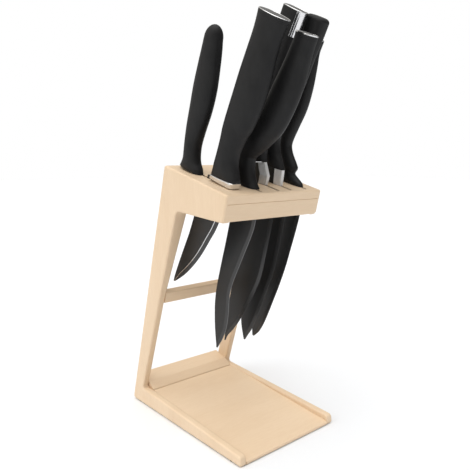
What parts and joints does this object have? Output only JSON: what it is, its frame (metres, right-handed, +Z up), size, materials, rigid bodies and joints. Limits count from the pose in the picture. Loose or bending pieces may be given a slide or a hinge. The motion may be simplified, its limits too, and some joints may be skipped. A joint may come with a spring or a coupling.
{
  "type": "knife block with knives",
  "caption": "Open wooden knife stand with C-shaped side frames and a sloping slotted top that holds kitchen knives with moulded handles.",
  "frame": {"origin": "on the surface the stand rests on, under the middle of the bounding box", "axes": "+Z up, -Y out of the open front of the stand, +X to the right seen from the front"},
  "size_m": [0.13, 0.228, 0.4188],
  "materials": {
    "pale_wood": "smooth clear satin lacquer",
    "dowel_wood": "bare turned wood",
    "pad_rubber": "matte",
    "black_grip": "fine satin moulding",
    "polished_steel": "polished",
    "coated_blade": "black coating with a satin ground bevel"
  },
  "bodies": {
    "stand": {"side_frame_left": "pale_wood", "side_frame_right": "pale_wood", "dowel_left_1": "dowel_wood", "dowel_left_2": "dowel_wood", "dowel_left_3": "dowel_wood", "dowel_left_4": "dowel_wood", "dowel_left_5": "dowel_wood", "dowel_right_1": "dowel_wood", "dowel_right_2": "dowel_wood", "dowel_right_3": "dowel_wood", "dowel_right_4": "dowel_wood", "dowel_right_5": "dowel_wood", "rear_crossbar": "pale_wood", "middle_crossbar": "pale_wood", "tray": "pale_wood", "rubber_pad_1": "pad_rubber", "rubber_pad_2": "pad_rubber", "rubber_pad_3": "pad_rubber", "rubber_pad_4": "pad_rubber", "slotted_top_plate": "pale_wood", "slotted_lower_block": "pale_wood"},
    "paring_knife": {"paring_blade": "coated_blade", "paring_handle": "black_grip"},
    "utility_knife": {"utility_blade": "coated_blade", "utility_bolster": "polished_steel", "utility_handle": "black_grip", "utility_end_cap": "black_grip"},
    "chef_knife": {"chef_blade": "coated_blade", "chef_handle": "black_grip", "chef_end_cap": "polished_steel"},
    "bread_knife": {"bread_blade": "coated_blade", "bread_bolster": "polished_steel", "bread_handle": "black_grip", "bread_end_cap": "polished_steel"},
    "carving_knife": {"carving_blade": "coated_blade", "carving_bolster": "polished_steel", "carving_handle": "black_grip"},
    "slicing_knife": {"slicing_blade": "coated_blade", "slicing_handle": "black_grip", "slicing_end_cap": "polished_steel"}
  },
  "joints": [
    {"name": "paring_lift", "type": "slide", "parent": "stand", "child": "paring_knife", "axis": [0, -0.3335, 0.9428], "range_m": [0, 0.11]},
    {"name": "utility_lift", "type": "slide", "parent": "stand", "child": "utility_knife", "axis": [0, -0.4365, 0.8997], "range_m": [0, 0.145]},
    {"name": "chef_lift", "type": "slide", "parent": "stand", "child": "chef_knife", "axis": [0, -0.2484, 0.9687], "range_m": [0, 0.195]},
    {"name": "bread_lift", "type": "slide", "parent": "stand", "child": "bread_knife", "axis": [0, -0.2484, 0.9687], "range_m": [0, 0.2]},
    {"name": "carving_lift", "type": "slide", "parent": "stand", "child": "carving_knife", "axis": [0, -0.2484, 0.9687], "range_m": [0, 0.195]},
    {"name": "slicing_lift", "type": "slide", "parent": "stand", "child": "slicing_knife", "axis": [0, -0.2484, 0.9687], "range_m": [0, 0.2]}
  ]
}
